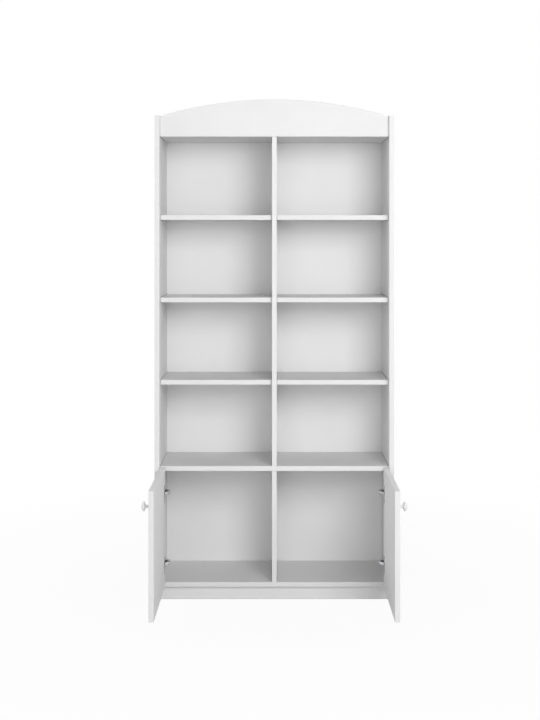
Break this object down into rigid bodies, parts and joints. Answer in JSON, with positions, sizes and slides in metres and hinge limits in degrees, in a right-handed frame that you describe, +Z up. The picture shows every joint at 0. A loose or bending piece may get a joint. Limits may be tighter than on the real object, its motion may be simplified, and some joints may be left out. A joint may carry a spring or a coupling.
{
  "type": "bookcase with cabinet doors",
  "caption": "Tall white bookcase with an arched crown, paired shelves on hidden pins and a lower cabinet with two slab doors on concealed hinges, standing open.",
  "frame": {"origin": "on the floor, in the middle of the footprint of the carcass", "axes": "+Z up, -Y out of the front with the bays and doors, +X to the right as seen from the front"},
  "size_m": [0.915, 0.7495, 1.8879],
  "materials": {
    "white_laminate": "particleboard with a white melamine face, satin",
    "hardboard": "hardboard, white inside and brown behind",
    "pin_steel": "zinc-plated steel",
    "nickel_steel": "nickel-plated pressed steel",
    "knob_lacquer": "white, glossy"
  },
  "bodies": {
    "carcass": {"left_side_panel": "white_laminate", "right_side_panel": "white_laminate", "crown_panel": "white_laminate", "top_board": "white_laminate", "upper_divider": "white_laminate", "lower_divider": "white_laminate", "left_shelf_1": "white_laminate", "left_shelf_2": "white_laminate", "left_shelf_3": "white_laminate", "right_shelf_1": "white_laminate", "right_shelf_2": "white_laminate", "right_shelf_3": "white_laminate", "cabinet_top_board": "white_laminate", "bottom_board": "white_laminate", "plinth_board": "white_laminate", "plinth_brace": "white_laminate", "left_back_panel": "hardboard", "right_back_panel": "hardboard", "shelf_pins": "pin_steel", "divider_shelf_pins": "pin_steel", "left_upper_hinge_plate": "nickel_steel", "left_lower_hinge_plate": "nickel_steel", "right_upper_hinge_plate": "nickel_steel", "right_lower_hinge_plate": "nickel_steel", "left_upper_hinge_arm": "nickel_steel", "left_lower_hinge_arm": "nickel_steel", "right_upper_hinge_arm": "nickel_steel", "right_lower_hinge_arm": "nickel_steel"},
    "left_door": {"left_door_panel": "white_laminate", "left_knob": "knob_lacquer", "left_hinge_cups": "nickel_steel"},
    "left_hinge_links": {"left_upper_hinge_link": "nickel_steel", "left_lower_hinge_link": "nickel_steel"},
    "right_door": {"right_door_panel": "white_laminate", "right_knob": "knob_lacquer", "right_hinge_cups": "nickel_steel"},
    "right_hinge_links": {"right_upper_hinge_link": "nickel_steel", "right_lower_hinge_link": "nickel_steel"}
  },
  "joints": [
    {"name": "left_door_hinge", "type": "hinge", "parent": "carcass", "child": "left_door", "pos_m": [-0.426, -0.161, 0.27925], "axis": [0, 0, -1], "range_deg": [-90, 10]},
    {"name": "left_link_pivot", "type": "hinge", "parent": "carcass", "child": "left_hinge_links", "pos_m": [-0.3973, -0.1503, 0.27925], "axis": [0, 0, -1], "range_deg": [-7.5, 63.5]},
    {"name": "right_door_hinge", "type": "hinge", "parent": "carcass", "child": "right_door", "pos_m": [0.426, -0.161, 0.27925], "axis": [0, 0, 1], "range_deg": [-90, 10]},
    {"name": "right_link_pivot", "type": "hinge", "parent": "carcass", "child": "right_hinge_links", "pos_m": [0.3973, -0.1503, 0.27925], "axis": [0, 0, 1], "range_deg": [-7.5, 63.5]}
  ],
  "couplings": [
    {"joint": "left_link_pivot", "follows": "left_door_hinge", "ratio": -0.6978},
    {"joint": "right_link_pivot", "follows": "right_door_hinge", "ratio": -0.6978}
  ]
}
